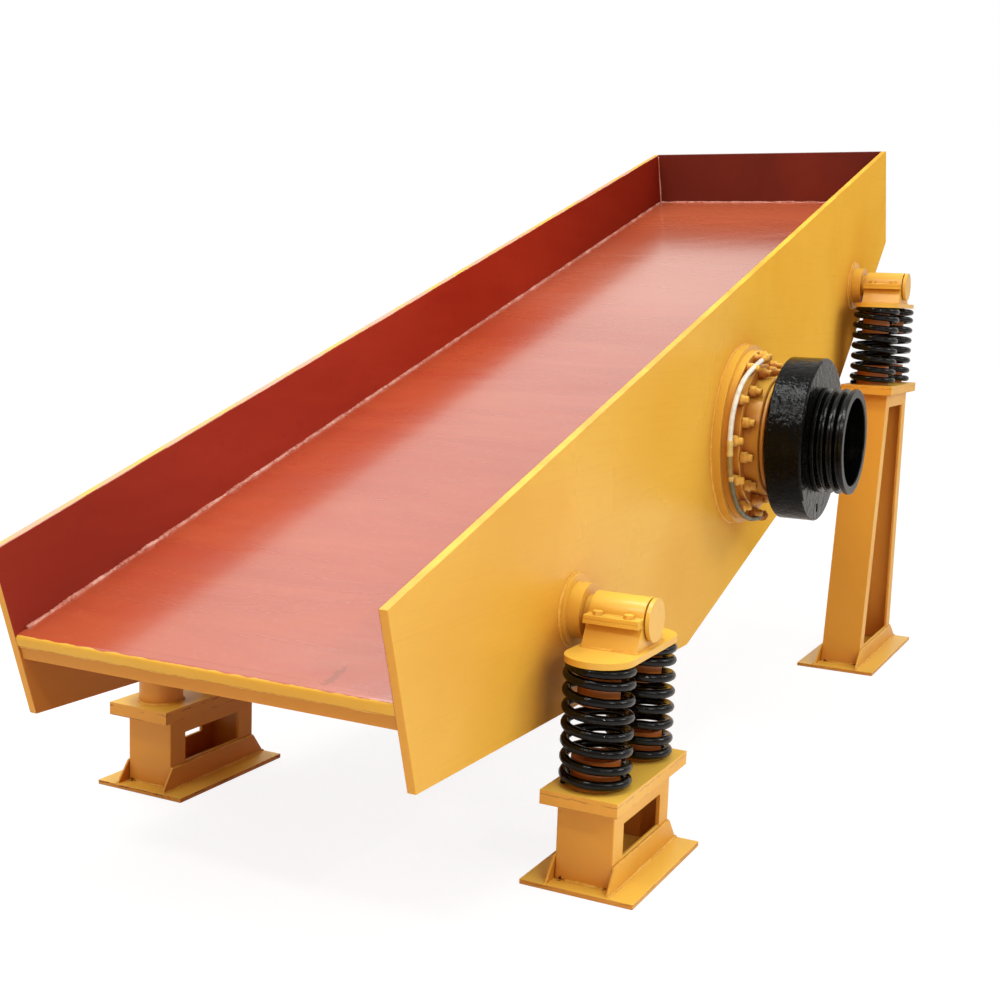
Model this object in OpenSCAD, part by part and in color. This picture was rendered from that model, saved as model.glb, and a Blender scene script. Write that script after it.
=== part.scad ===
// Vibratory feeder: a sloped, open trough shaken by a shaft exciter and carried on
// eight coil springs by four welded stands. Lengths in millimetres, angles in degrees.
// The material runs towards +X, the belt pulley is on the +Y side and +Z is up.

/* [Trough] */
// Length of the trough along its deck
trough_l = 4000; // [3600:10:4400]
// Clear width between the side plates
trough_w = 960; // [800:10:1200]
// Slope of the deck, down towards the discharge end
slope = 17.6; // [14:0.1:20]
// Height of the top edge above the floor at the discharge end
front_top_z = 751; // [720:1:900]
// Thickness of a side plate
side_t = 20; // [12:1:25]
// Depth of the deck below the top edge
wall_h = 205; // [160:5:250]
// Thickness of the deck plate
deck_t = 12; // [8:1:16]
// Thickness of the back plate
back_t = 12; // [8:1:16]
// How far the back plate reaches below the deck
back_skirt = 48; // [10:1:90]
// Depth of the side plates at the discharge end
nose_depth = 405; // [340:5:450]
// Depth of the side plates round the exciter
belly_depth = 890; // [820:5:940]
// Depth of the side plates at the feed end
rear_depth = 376; // [340:1:450]
// Where the deep part of the side plates begins, from the discharge end
belly_from = 1470; // [1300:10:1600]
// Where the deep part of the side plates ends, from the discharge end
belly_to = 2780; // [2600:10:3000]

/* [Lip and cross beams] */
// Height of the nose bar at the edge of the deck
nose_bar_h = 26; // [20:1:35]
// Length of the nose bar along the deck
nose_bar_l = 30; // [20:1:50]
// Height of the beam under the nose bar
lip_beam_h = 34; // [25:1:60]
// How far the beam is set back from the front of the nose bar
lip_setback = 5; // [2:1:12]
// Length of the beam along the deck
lip_beam_l = 70; // [60:1:100]
// Height of a cross beam under the deck
beam_h = 60; // [40:1:65]
// Width of a cross beam
beam_w = 100; // [60:1:140]
// Wall of a cross beam
beam_wall = 6; // [4:0.5:10]
// Distance of the outermost cross beams from the ends of the trough
beam_end = 360; // [300:1:450]
// Distance of the middle cross beams from the exciter axis
beam_clear = 420; // [400:1:480]
// Cross beams on each side of the exciter
beams_per_half = 3; // [2:1:4]

/* [Exciter] */
// Exciter axis, from the discharge end along the deck
exciter_s = 2016; // [1950:1:2150]
// Depth of the exciter axis below the top edge
exciter_depth = 450; // [450:1:600]
// Outer radius of the tube round the shaft
tube_r = 160; // [150:1:168]
// Wall of the tube
tube_wall = 12; // [8:1:16]
// Radius of the ring welded on the side plate
ring_r = 272; // [268:1:320]
// Thickness of that ring
ring_t = 28; // [16:1:36]
// Radius of the housing's flange
flange_r = 257; // [254:1:268]
// Thickness of the housing's flange
flange_t = 22; // [16:1:30]
// Radius of the raised face inside the outer bolts
collar_r = 216; // [214:1:218]
// Height of the raised face
collar_t = 18; // [10:1:24]
// Radius of the bearing hub
hub_r = 180; // [176:1:182]
// Reach of the bearing hub from the side plate
hub_reach = 113; // [100:1:120]
// Circle radius of the outer housing bolts
outer_bolt_r = 238; // [236:1:240]
// Circle radius of the inner housing bolts
inner_bolt_r = 198; // [197:1:199]
// Number of bolts in each of the two circles
bolts_per_circle = 12; // [8:1:14]
// Diameter of a housing bolt
bolt_d = 18; // [14:1:20]
// Length of bolt and nut that stands out of the housing
bolt_proud = 34; // [28:1:38]

/* [Bearing and cover] */
// Outer radius of the bearing
bearing_r = 120; // [100:1:130]
// Width of the bearing
bearing_w = 80; // [60:1:84]
// Radius of the bearing cover
cover_r = 170; // [160:1:174]
// Thickness of the bearing cover
cover_t = 12; // [8:1:16]
// Circle radius of the cover bolts
cover_bolt_r = 150; // [146:1:154]
// Number of cover bolts
cover_bolts = 8; // [6:1:12]
// Diameter of a cover bolt
cover_bolt_d = 10; // [8:1:12]

/* [Rotor] */
// Radius of the shaft
shaft_r = 55; // [45:1:62]
// Radius of the shaft between the bearings
shaft_mid_r = 62; // [60:1:68]
// Running clearance of the shaft in the bearings
run_gap = 0.05; // [0.02:0.01:0.09]
// Radius of an eccentric disc
disc_r = 243; // [220:1:260]
// Thickness of an eccentric disc
disc_t = 108; // [90:1:120]
// Gap between the bearing cover and the disc
disc_gap = 24; // [18:1:34]
// Radius of the disc's raised boss on the back
disc_boss_r = 85; // [75:1:110]
// Depth of the pocket that takes weight off the disc's upper half
pocket_depth = 70; // [40:1:80]
// Wall left round that pocket
pocket_wall = 34; // [25:1:50]
// Height of the stepped segment at the foot of the disc's face
segment_h = 76; // [60:1:90]
// Depth of that step
segment_step = 4; // [2:0.5:8]
// Outer radius of the belt pulley
pulley_r = 156.5; // [140:0.5:170]
// Number of belt grooves
grooves = 3; // [2:1:3]
// Spacing of the belt grooves
groove_pitch = 26; // [25:0.5:27]
// Depth of a belt groove
groove_depth = 19; // [15:0.5:21]
// Mouth width of a belt groove
groove_mouth = 19; // [17:0.5:21]
// Rim wall of the pulley, outside its hollow
rim_wall = 26; // [24:1:32]
// Thickness of the pulley's web
web_t = 20; // [14:1:30]

/* [Grease line] */
// Outer diameter of the pipe
line_d = 15; // [12:0.5:15]
// Radius of the pipe's arc round the exciter
line_arc_r = 268; // [266:1:270]
// Distance of the pipe from the side plate
line_reach = 59; // [58.5:0.5:60]

/* [Spring brackets] */
// Trunnion of the discharge-end brackets, from the discharge end
front_trunnion_s = 760; // [720:5:840]
// Trunnion of the feed-end brackets, from the discharge end
rear_trunnion_s = 3440; // [3300:5:3480]
// Depth of the trunnions below the top edge
trunnion_depth = 398; // [390:1:420]
// Distance of the spring line from the side plates
stand_y = 126; // [118:1:150]
// Radius of the trunnion
trunnion_r = 40; // [34:1:42]
// Radius of the pad welded on the side plate
pad_r = 86; // [80:1:95]
// Radius of the boss on that pad
boss_r = 67; // [60:1:72]
// Thickness of the pad
pad_t = 10; // [6:1:14]
// Reach of the boss from the side plate
boss_reach = 42; // [30:1:48]
// Wall of the clamp round the trunnion
clamp_wall = 12; // [9:1:14]
// Length of the clamp along the trunnion
clamp_l = 136; // [120:1:140]
// Width of a clamp flange beside the clamp
clamp_flange = 30; // [26:1:36]
// Thickness of a clamp flange
clamp_flange_t = 10; // [8:1:14]
// Diameter of a clamp bolt
clamp_bolt_d = 14; // [10:1:16]
// Spacing of the clamp bolts along the trunnion
clamp_bolt_gap = 76; // [60:1:90]
// Half width of the saddle block at its foot
saddle_foot = 86; // [82:1:100]
// Height of the trunnion axis above the underside of the spring seat
axis_over_seat = 80; // [76:1:100]
// Thickness of the spring seat
seat_t = 15; // [10:1:18]

/* [Springs] */
// Distance between the two springs of a stand
spring_gap = 260; // [240:1:290]
// Outside diameter of a spring
spring_od = 168; // [160:1:180]
// Diameter of the spring wire
wire_d = 22; // [16:1:23]
// Height between the cap and the spring seat
spring_h = 288; // [260:1:320]
// Rise from one coil to the next
coil_pitch = 40; // [34:1:46]
// Turn of the wire's ends about the axis of a spring
end_turn = 117; // [0:1:180]
// Outside diameter of the upper guide tubes inside the springs
upper_guide_d = 98; // [84:1:112]
// Outside diameter of the lower guide tubes inside the springs
lower_guide_d = 114; // [94:1:116]
// Wall of the guide tubes
guide_wall = 6; // [4:0.5:10]
// Length of the upper guide tubes
upper_guide_l = 96; // [60:1:100]
// Length of the lower guide tubes
lower_guide_l = 70; // [50:1:80]
// Height of the plain tubes that carry the springs on the side away from the pulley
pedestal_h = 70; // [40:1:80]
// Thickness of the seat on top of a plain tube
pedestal_seat_t = 8; // [6:1:12]

/* [Stands] */
// Length of a cap plate
cap_l = 446; // [436:1:480]
// Width of a cap plate
cap_w = 188; // [182:1:200]
// Thickness of a cap plate
cap_t = 33; // [16:1:36]
// Length of a column at its top
column_l = 352; // [320:1:380]
// Width of a column
column_w = 140; // [120:1:160]
// Plate thickness of a column
column_t = 10; // [6:1:14]
// How much further the tall columns reach at the foot, on their discharge side
rear_splay = 172; // [100:1:200]
// Width of the frame left round a column's window
window_frame = 60; // [45:1:70]
// Distance from the top of a window to the cap
window_top = 50; // [30:1:60]
// Corner height of the side gussets above the base plate
gusset_h = 55; // [50:1:80]
// How far the gussets lean out at the foot
gusset_lean = 2; // [1:1:20]
// Plate thickness of the gussets
gusset_t = 6; // [4:1:14]
// Width of a base plate
base_w = 277; // [250:1:300]
// Thickness of a base plate
base_t = 12; // [8:1:20]
// How far a front base plate reaches past its column at each end
front_base_over = 43; // [30:1:60]
// How far a rear base plate reaches past its column at each end
rear_base_over = 78; // [60:1:110]
// How far the gussets stop short of the ends of the base plate
gusset_inset = 3; // [1:1:20]

/* [Hidden] */
$fn = 48;

DRIVE = 1;   // the side with the belt pulley, +Y
FREE = -1;   // the side without it
FRONT = 0;   // the discharge end, +X
REAR = 1;    // the feed end

paint = "#e8b246";
lining = "#a53a24";
black = "#1b1b1e";
steel = "#9a9ca0";
white_nylon = "#d9d7cf";

seat_gap = 0.3;                      // clearance of pieces that sit in or on one another
weld_gap = 0.05;                     // clearance under pieces that are welded on
eps = 0.5;                           // overshoot of a cutting tool
half_in = trough_w / 2;
half_out = half_in + side_t;

// Height and X position of a point of the trough, s along the top edge and h below it
function trough_x(s, h) = -s * cos(slope) - h * sin(slope);
function trough_z(s, h) = front_top_z + s * sin(slope) - h * cos(slope);

exciter_x = trough_x(exciter_s, exciter_depth);
exciter_z = trough_z(exciter_s, exciter_depth);

function trunnion_s(end) = end == FRONT ? front_trunnion_s : rear_trunnion_s;
function stand_x(end) = trough_x(trunnion_s(end), trunnion_depth);
function trunnion_z(end) = trough_z(trunnion_s(end), trunnion_depth);
function seat_z(end) = trunnion_z(end) - axis_over_seat;
function cap_z(end) = seat_z(end) - spring_h;
function splay(end) = end == FRONT ? 0 : rear_splay;
function base_over(end) = end == FRONT ? front_base_over : rear_base_over;

// Evenly spread places of the cross beams, in front of the exciter and behind it
function run(from, to) = [
    for (i = [0 : beams_per_half - 1]) from + (to - from) * i / (beams_per_half - 1)
];
beam_places = concat(
    run(beam_end, exciter_s - beam_clear),
    run(exciter_s + beam_clear, trough_l - beam_end)
);

// Stack of the exciter, measured out from the face of a side plate
flange_face = ring_t + flange_t;
collar_face = flange_face + collar_t;
cover_face = hub_reach + cover_t;
disc_from = cover_face + disc_gap;
disc_to = disc_from + disc_t;
pulley_w = grooves * groove_pitch + 18;
pulley_to = disc_to + pulley_w;
bearing_from = hub_reach - bearing_w;
bolt_hole_d = bolt_d + 2 * seat_gap;
clamp_r = trunnion_r + clamp_wall;

// The origin is on the floor, below the middle of the outermost points
foot_reach = half_out + stand_y + base_w / 2;
origin_x = -trough_x(trough_l, rear_depth) / 2;
origin_y = (foot_reach - half_out - pulley_to) / 2;

// ---- placing ----

module machine() {
    translate([origin_x, origin_y, 0])
        children();
}

// X runs back up the trough as -s, Z runs up from the top edge
module in_trough() {
    machine()
        translate([0, 0, front_top_z])
            rotate([0, slope, 0])
                children();
}

// Y runs outwards from the face of the side plate, X and Z stay those of the machine
module on_side(side) {
    machine()
        mirror([0, side == DRIVE ? 0 : 1, 0])
            translate([0, half_out, 0])
                children();
}

// As on_side, with Z along the exciter's axis, outwards
module on_exciter(side) {
    on_side(side)
        translate([exciter_x, 0, exciter_z])
            rotate([-90, 0, 0])
                children();
}

// As on_side, with X at the middle of a stand
module at_stand(end, side) {
    on_side(side)
        translate([stand_x(end), 0, 0])
            children();
}

// As at_stand, with the origin on the trunnion's axis
module at_trunnion(end, side) {
    at_stand(end, side)
        translate([0, 0, trunnion_z(end)])
            children();
}

// Extrudes an XZ outline from y to y + l
module prism_y(y, l) {
    translate([0, y + l, 0])
        rotate([90, 0, 0])
            linear_extrude(l)
                children();
}

// ---- trough ----

module side_plate(side) {
    outline = [
        [0, 0], [0, -nose_depth], [-belly_from, -belly_depth], [-belly_to, -belly_depth],
        [-trough_l, -rear_depth], [-trough_l, 0]
    ];
    color(paint)
        difference() {
            in_trough()
                mirror([0, side == DRIVE ? 0 : 1, 0])
                    prism_y(half_in, side_t)
                        polygon(outline);
            on_exciter(side)
                translate([0, 0, -side_t - eps])
                    cylinder(r = tube_r + seat_gap, h = side_t + 2 * eps);
        }
}

module deck_plate() {
    color(lining)
        in_trough()
            translate([-trough_l + back_t, -half_in, -wall_h - deck_t])
                cube([trough_l - back_t - nose_bar_l, trough_w, deck_t]);
}

module back_plate() {
    color(lining)
        in_trough()
            translate([-trough_l, -half_in, -wall_h - back_skirt])
                cube([back_t, trough_w, wall_h + back_skirt]);
}

// A nose bar with a rounded front edge, on a beam that is set back a little
module discharge_lip() {
    nose_round = nose_bar_h * 0.4;
    steps = 6;
    beam_top = -max(nose_bar_h, deck_t);
    outline = concat(
        [[-nose_bar_l, 0]],
        [for (i = [0 : steps])
            [-nose_round + nose_round * sin(90 * i / steps),
             -nose_round + nose_round * cos(90 * i / steps)]],
        [[0, beam_top], [-lip_setback, beam_top], [-lip_setback, beam_top - lip_beam_h],
         [-lip_beam_l, beam_top - lip_beam_h], [-lip_beam_l, -deck_t], [-nose_bar_l, -deck_t]]
    );
    color(paint)
        in_trough()
            translate([0, 0, -wall_h])
                prism_y(-half_in, trough_w)
                    polygon(outline);
}

module deck_crossbeams() {
    color(paint)
        in_trough()
            for (s = beam_places)
                translate([-s - beam_w / 2, -half_in, -wall_h - deck_t - beam_h])
                    difference() {
                        cube([beam_w, trough_w, beam_h]);
                        translate([beam_wall, -eps, beam_wall])
                            cube([
                                beam_w - 2 * beam_wall,
                                trough_w + 2 * eps,
                                beam_h - 2 * beam_wall
                            ]);
                    }
}

// ---- exciter ----

module exciter_tube() {
    color(paint)
        on_exciter(DRIVE)
            translate([0, 0, -2 * half_out])
                difference() {
                    cylinder(r = tube_r, h = 2 * half_out);
                    translate([0, 0, -eps])
                        cylinder(r = tube_r - tube_wall, h = 2 * half_out + 2 * eps);
                }
}

// Angle of bolt i in one of the two staggered circles
function bolt_turn(i, circle) = 360 / bolts_per_circle * (i + circle / 2);

module at_housing_bolts() {
    for (circle = [0, 1], i = [0 : bolts_per_circle - 1])
        rotate([0, 0, bolt_turn(i, circle)])
            translate([circle == 0 ? outer_bolt_r : inner_bolt_r, 0, 0]) {
                $face = circle == 0 ? flange_face : collar_face;
                children();
            }
}

module mounting_ring(side) {
    color(paint)
        on_exciter(side)
            difference() {
                translate([0, 0, weld_gap])
                    cylinder(r = ring_r, h = ring_t - weld_gap);
                translate([0, 0, -eps])
                    cylinder(r = tube_r - tube_wall, h = ring_t + 2 * eps);
                at_housing_bolts()
                    translate([0, 0, ring_t / 2])
                        cylinder(d = bolt_hole_d, h = ring_t);
            }
}

module bearing_housing(side) {
    bore_r = shaft_mid_r + 8;
    chamfer = 3;
    profile = [
        [bore_r, ring_t], [flange_r, ring_t],
        [flange_r, flange_face - chamfer], [flange_r - chamfer, flange_face],
        [collar_r, flange_face],
        [collar_r, collar_face - chamfer], [collar_r - chamfer, collar_face],
        [hub_r, collar_face],
        [hub_r, hub_reach - chamfer], [hub_r - chamfer, hub_reach],
        [bearing_r + seat_gap, hub_reach], [bearing_r + seat_gap, bearing_from],
        [bore_r, bearing_from]
    ];
    color(paint)
        on_exciter(side)
            difference() {
                rotate_extrude()
                    polygon(profile);
                at_housing_bolts()
                    cylinder(d = bolt_hole_d, h = collar_face + 2 * eps);
                at_cover_bolts()
                    translate([0, 0, hub_reach - 2 * cover_bolt_d])
                        cylinder(d = cover_bolt_d + 2 * seat_gap, h = 3 * cover_bolt_d);
            }
}

// Studs with hexagon nuts
module housing_bolts(side) {
    nut_af = 1.5 * bolt_d;
    nut_h = 0.85 * bolt_d;
    washer_t = 3;
    color(paint)
        on_exciter(side)
            at_housing_bolts() {
                translate([0, 0, ring_t / 2])
                    cylinder(d = bolt_d, h = $face + bolt_proud - ring_t / 2, $fn = 16);
                translate([0, 0, $face])
                    cylinder(d = nut_af * 1.12, h = washer_t, $fn = 24);
                translate([0, 0, $face + washer_t])
                    cylinder(d = nut_af / cos(30), h = nut_h, $fn = 6);
            }
}

// The ring of a roller bearing, with its inner race proud of the outer one's chamfer
module bearing(side) {
    race = 0.28 * (bearing_r - shaft_r);
    inner_r = shaft_r + run_gap;
    dish = 4;
    profile = [
        [inner_r, 0], [inner_r + race, 0], [inner_r + race, dish],
        [bearing_r - race, dish], [bearing_r - race, 0], [bearing_r, 0],
        [bearing_r, bearing_w], [bearing_r - race, bearing_w],
        [bearing_r - race, bearing_w - dish], [inner_r + race, bearing_w - dish],
        [inner_r + race, bearing_w], [inner_r, bearing_w]
    ];
    color(steel)
        on_exciter(side)
            translate([0, 0, bearing_from])
                rotate_extrude()
                    polygon(profile);
}

module at_cover_bolts() {
    for (i = [0 : cover_bolts - 1])
        rotate([0, 0, 360 / cover_bolts * (i + 0.5)])
            translate([cover_bolt_r, 0, 0])
                children();
}

module bearing_cover(side) {
    shaft_hole = shaft_r + 2;
    bevel = 3;
    profile = [
        [shaft_hole, hub_reach], [cover_r, hub_reach], [cover_r, cover_face - bevel],
        [cover_r - bevel, cover_face], [shaft_hole + 30, cover_face],
        [shaft_hole + 24, cover_face + 6], [shaft_hole, cover_face + 6]
    ];
    color(paint)
        on_exciter(side)
            difference() {
                rotate_extrude()
                    polygon(profile);
                at_cover_bolts()
                    cylinder(d = cover_bolt_d + 2 * seat_gap, h = cover_face + eps);
            }
}

module cover_bolt_set(side) {
    head_h = 0.65 * cover_bolt_d;
    color(paint)
        on_exciter(side)
            at_cover_bolts() {
                translate([0, 0, hub_reach - 1.8 * cover_bolt_d])
                    cylinder(d = cover_bolt_d, h = 1.8 * cover_bolt_d + cover_t, $fn = 16);
                translate([0, 0, cover_face])
                    cylinder(d = 1.7 * cover_bolt_d / cos(30), h = head_h, $fn = 6);
            }
}

// The pipe runs round the bolts on the discharge side. Angles are counted up from there.
line_from = -80;
line_to = 80;
coupling_at = -4;

module grease_line() {
    color(white_nylon)
        on_exciter(DRIVE)
            translate([0, 0, line_reach])
                rotate([0, 0, -line_to])
                    rotate_extrude(angle = line_to - line_from)
                        translate([line_arc_r, 0])
                            circle(d = line_d);
}

// A fitting on the pipe's arc at an angle counted up from the discharge side
module line_block(turn, l, w, foot) {
    rotate([0, 0, -turn])
        translate([line_arc_r, 0, 0])
            translate([-w / 2, -l / 2, foot])
                cube([w, l, line_reach + line_d * 0.7 - foot]);
}

module line_fittings() {
    block = 1.5 * line_d;
    color(paint)
        on_exciter(DRIVE)
            difference() {
                union() {
                    line_block(line_from - 2.5, 1.4 * block, block, ring_t);
                    line_block(line_to + 2.5, 1.4 * block, block, ring_t);
                    line_block(coupling_at, 1.6 * block, block, ring_t);
                }
                cylinder(r = flange_r + seat_gap, h = flange_face + eps);
                translate([0, 0, line_reach])
                    rotate([0, 0, -line_to])
                        rotate_extrude(angle = line_to - line_from)
                            translate([line_arc_r, 0])
                                circle(d = line_d + 2 * seat_gap);
            }
}

// ---- rotor ----

module shaft() {
    mid = 2 * (half_out + bearing_from) - 4;
    free_l = half_out + disc_to + 5;
    drive_l = half_out + disc_to + web_t + 12;
    color(steel)
        on_exciter(DRIVE)
            translate([0, 0, -half_out]) {
                translate([0, 0, -free_l])
                    cylinder(r = shaft_r, h = free_l + drive_l);
                translate([0, 0, -mid / 2])
                    cylinder(r = shaft_mid_r, h = mid);
            }
}

// A thick disc, pocketed behind its upper half so that the foot of the disc is the heavy side
module eccentric(side) {
    bore = shaft_r + seat_gap;
    pocket_r = disc_r - pocket_wall;
    slot = [16, 24];
    color(black)
        on_exciter(side)
            difference() {
                translate([0, 0, disc_from])
                    disc_body();
                translate([0, 0, disc_from - eps])
                    cylinder(r = bore, h = disc_t + 2 * eps);
                translate([0, 0, disc_from - eps])
                    difference() {
                        cylinder(r = pocket_r, h = pocket_depth + eps);
                        translate([0, 0, -eps])
                            cylinder(r = disc_boss_r, h = pocket_depth + 3 * eps);
                        translate([-disc_r, 0, -eps])
                            cube([2 * disc_r, disc_r, pocket_depth + 3 * eps]);
                    }
                translate([-disc_r, disc_r - segment_h, disc_to - segment_step])
                    cube([2 * disc_r, segment_h + eps, segment_step + eps]);
                translate([-slot.x / 2, disc_r - segment_h / 2 - slot.y / 2, disc_from - eps])
                    cube([slot.x, slot.y, disc_t + 2 * eps]);
            }
}

module disc_body() {
    bevel = 5;
    rotate_extrude()
        polygon([
            [0, 0], [disc_r - bevel, 0], [disc_r, bevel], [disc_r, disc_t - bevel],
            [disc_r - bevel, disc_t], [0, disc_t]
        ]);
}

module pulley() {
    hub_bore = shaft_r + seat_gap;
    land = (pulley_w - grooves * groove_pitch) / 2;
    groove_foot = groove_mouth * 0.45;
    inner = pulley_r - rim_wall;
    bevel = 2;
    rim = concat(
        [[pulley_r - bevel, 0], [pulley_r, bevel]],
        [for (i = [0 : grooves - 1], p = [
            [0, -groove_mouth / 2], [-groove_depth, -groove_foot / 2],
            [-groove_depth, groove_foot / 2], [0, groove_mouth / 2]])
            [pulley_r + p[0], land + groove_pitch * (i + 0.5) + p[1]]],
        [[pulley_r, pulley_w - bevel], [pulley_r - bevel, pulley_w]]
    );
    color(black)
        on_exciter(DRIVE)
            translate([0, 0, disc_to])
                rotate_extrude()
                    polygon(concat(
                        [[hub_bore, 0]], rim,
                        [[inner + bevel, pulley_w], [inner, pulley_w - bevel],
                         [inner, web_t], [hub_bore + 22, web_t],
                         [hub_bore + 20, web_t + 14], [hub_bore, web_t + 14]]
                    ));
}

// ---- spring brackets ----

module trunnion(end, side) {
    step = 4;
    length = stand_y + clamp_l / 2 + step;
    end_cap_t = 10;
    color(paint)
        at_trunnion(end, side)
            rotate([-90, 0, 0]) {
                translate([0, 0, weld_gap])
                    cylinder(r = pad_r, h = pad_t - weld_gap);
                translate([0, 0, weld_gap])
                    cylinder(r = boss_r, h = boss_reach - weld_gap);
                translate([0, 0, weld_gap])
                    cylinder(r = trunnion_r, h = length - weld_gap);
                translate([0, 0, length])
                    cylinder(r = clamp_r - 1, h = end_cap_t);
            }
}

module at_clamp_bolts() {
    for (x = [-1, 1], y = [-1, 1])
        translate([x * (clamp_r + clamp_flange / 2 - 2), stand_y + y * clamp_bolt_gap / 2, 0])
            children();
}

// The upper half of the clamp
module clamp(end, side) {
    reach = clamp_r + clamp_flange;
    color(paint)
        at_trunnion(end, side)
            difference() {
                union() {
                    intersection() {
                        translate([0, stand_y - clamp_l / 2, 0])
                            rotate([-90, 0, 0])
                                cylinder(r = clamp_r, h = clamp_l);
                        translate([-reach, 0, 0])
                            cube([2 * reach, 2 * stand_y, clamp_r + eps]);
                    }
                    translate([-reach, stand_y - clamp_l / 2, 0])
                        cube([2 * reach, clamp_l, clamp_flange_t]);
                }
                rotate([-90, 0, 0])
                    cylinder(r = trunnion_r + seat_gap, h = 2 * stand_y);
                at_clamp_bolts()
                    translate([0, 0, -eps])
                        cylinder(d = clamp_bolt_d + 2 * seat_gap, h = clamp_flange_t + 2 * eps);
            }
}

module clamp_bolts(end, side) {
    head_af = 1.6 * clamp_bolt_d;
    head_h = 0.65 * clamp_bolt_d;
    color(paint)
        at_trunnion(end, side)
            at_clamp_bolts() {
                translate([0, 0, -clamp_flange_t])
                    cylinder(d = clamp_bolt_d, h = 2 * clamp_flange_t, $fn = 16);
                translate([0, 0, clamp_flange_t])
                    cylinder(d = head_af / cos(30), h = head_h, $fn = 6);
            }
}

// Outline of a plate with round ends, as wide as d, about two centres
function stadium(gap, d, n = 20) = [
    for (k = [-1, 1], i = [0 : n])
        let (a = -90 * k + 180 * i / n)
        [-k * gap / 2 + d / 2 * cos(a + 180), d / 2 * sin(a + 180)]
];

// The block under the trunnion, with the lower clamp flanges, the spring seat and its guides
module saddle(end, side) {
    reach = clamp_r + clamp_flange;
    block_z = seat_t - axis_over_seat;
    seat_d = spring_od - 4;
    color(paint)
        at_trunnion(end, side)
            difference() {
                union() {
                    prism_y(stand_y - clamp_l / 2, clamp_l)
                        polygon([
                            [-reach, 0], [-reach, -clamp_flange_t],
                            [-clamp_r - 6, -clamp_flange_t],
                            [-saddle_foot, block_z], [saddle_foot, block_z],
                            [clamp_r + 6, -clamp_flange_t],
                            [reach, -clamp_flange_t], [reach, 0]
                        ]);
                    translate([0, stand_y, -axis_over_seat])
                        linear_extrude(seat_t)
                            polygon(stadium(spring_gap, seat_d));
                    translate([0, 0, -axis_over_seat - upper_guide_l])
                        at_springs()
                            guide_tube(upper_guide_d, upper_guide_l + seat_t / 2);
                }
                rotate([-90, 0, 0])
                    cylinder(r = trunnion_r + seat_gap, h = 2 * stand_y);
                at_clamp_bolts()
                    translate([0, 0, -clamp_flange_t - eps])
                        cylinder(d = clamp_bolt_d + 2 * seat_gap, h = clamp_flange_t + 2 * eps);
            }
}

module at_springs() {
    for (k = [-1, 1])
        translate([k * spring_gap / 2, stand_y, 0])
            children();
}

module guide_tube(d, l) {
    difference() {
        cylinder(d = d, h = l);
        translate([0, 0, -eps])
            cylinder(d = d - 2 * guide_wall, h = l + 2 * eps);
    }
}

// ---- springs ----

// Height of the foot of a spring above its cap
function spring_lift(side) = side == DRIVE ? 0 : pedestal_h + pedestal_seat_t;

// A coil is drawn as half turns. The first and last turns lie closed against their seats.
function active_halves(h) = 2 * round((h - wire_d / 2 - 2 * end_rise) / coil_pitch);
end_rise = wire_d + 0.5;
joint_step = 0.4;

// Height of the wire's centre after k half turns
function wire_z(k, h) =
    let (
        n = active_halves(h),
        active = (h - wire_d / 2 - 2 * end_rise) / n,
        closed = min(k, 2) + max(0, k - 2 - n)
    )
    wire_d / 4 + closed * end_rise / 2 + max(0, min(k - 2, n)) * active;

// Half a turn of a left-handed wire that climbs from z0 to z1
module half_turn(z0, z1, d) {
    r = (spring_od - wire_d) / 2;
    rise = z1 - z0;
    translate([0, 0, (z0 + z1) / 2])
        rotate([0, -atan(rise / (2 * r)), 0])
            rotate_extrude(angle = 180)
                translate([sqrt(r * r + rise * rise / 4), 0])
                    circle(d = d, $fn = 24);
}

// Both ends are ground flat. Every other half turn is a hair thinner, which gives each joint
// between two of them a clean edge.
module coil_spring(h) {
    intersection() {
        union()
            for (k = [0 : active_halves(h) + 3])
                rotate([0, 0, end_turn + 180 * (k % 2)])
                    half_turn(wire_z(k, h), wire_z(k + 1, h), wire_d - joint_step * (k % 2));
        translate([-spring_od, -spring_od, 0])
            cube([2 * spring_od, 2 * spring_od, h]);
    }
}

module springs(end, side) {
    lift = spring_lift(side);
    color(black)
        at_stand(end, side)
            translate([0, 0, cap_z(end) + lift])
                at_springs()
                    coil_spring(spring_h - lift);
}

// ---- stands ----

// The cap plate with the tubes that hold the feet of the springs
module cap(end, side) {
    lift = spring_lift(side);
    color(paint)
        at_stand(end, side) {
            translate([-cap_l / 2, stand_y - cap_w / 2, cap_z(end) - cap_t])
                cube([cap_l, cap_w, cap_t]);
            translate([0, 0, cap_z(end)])
                at_springs() {
                    guide_tube(lower_guide_d, lift + lower_guide_l);
                    if (side == FREE)
                        translate([0, 0, pedestal_h])
                            difference() {
                                cylinder(d = spring_od, h = pedestal_seat_t);
                                translate([0, 0, -eps])
                                    cylinder(d = lower_guide_d - 1, h = pedestal_seat_t + 2 * eps);
                            }
                }
        }
}

// A box of four plates, open at both ends, with a window in each of its two broad sides
module column(end, side) {
    top = cap_z(end) - cap_t;
    back = -column_l / 2;
    front = column_l / 2;
    lean = splay(end) / (top - base_t);
    window_z = base_t + gusset_h + 6;
    function edge(z) = front + lean * (top - z);
    module section(inset, z0, z1)
        polygon([
            [back + inset, z0], [edge(z0) - inset, z0],
            [edge(z1) - inset, z1], [back + inset, z1]
        ]);
    color(paint)
        at_stand(end, side)
            difference() {
                prism_y(stand_y - column_w / 2, column_w)
                    section(0, base_t, top);
                prism_y(stand_y - column_w / 2 + column_t, column_w - 2 * column_t)
                    section(column_t, base_t - eps, top + eps);
                prism_y(stand_y - column_w / 2 - eps, column_w + 2 * eps)
                    section(window_frame, window_z, top - window_top);
            }
}

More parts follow.
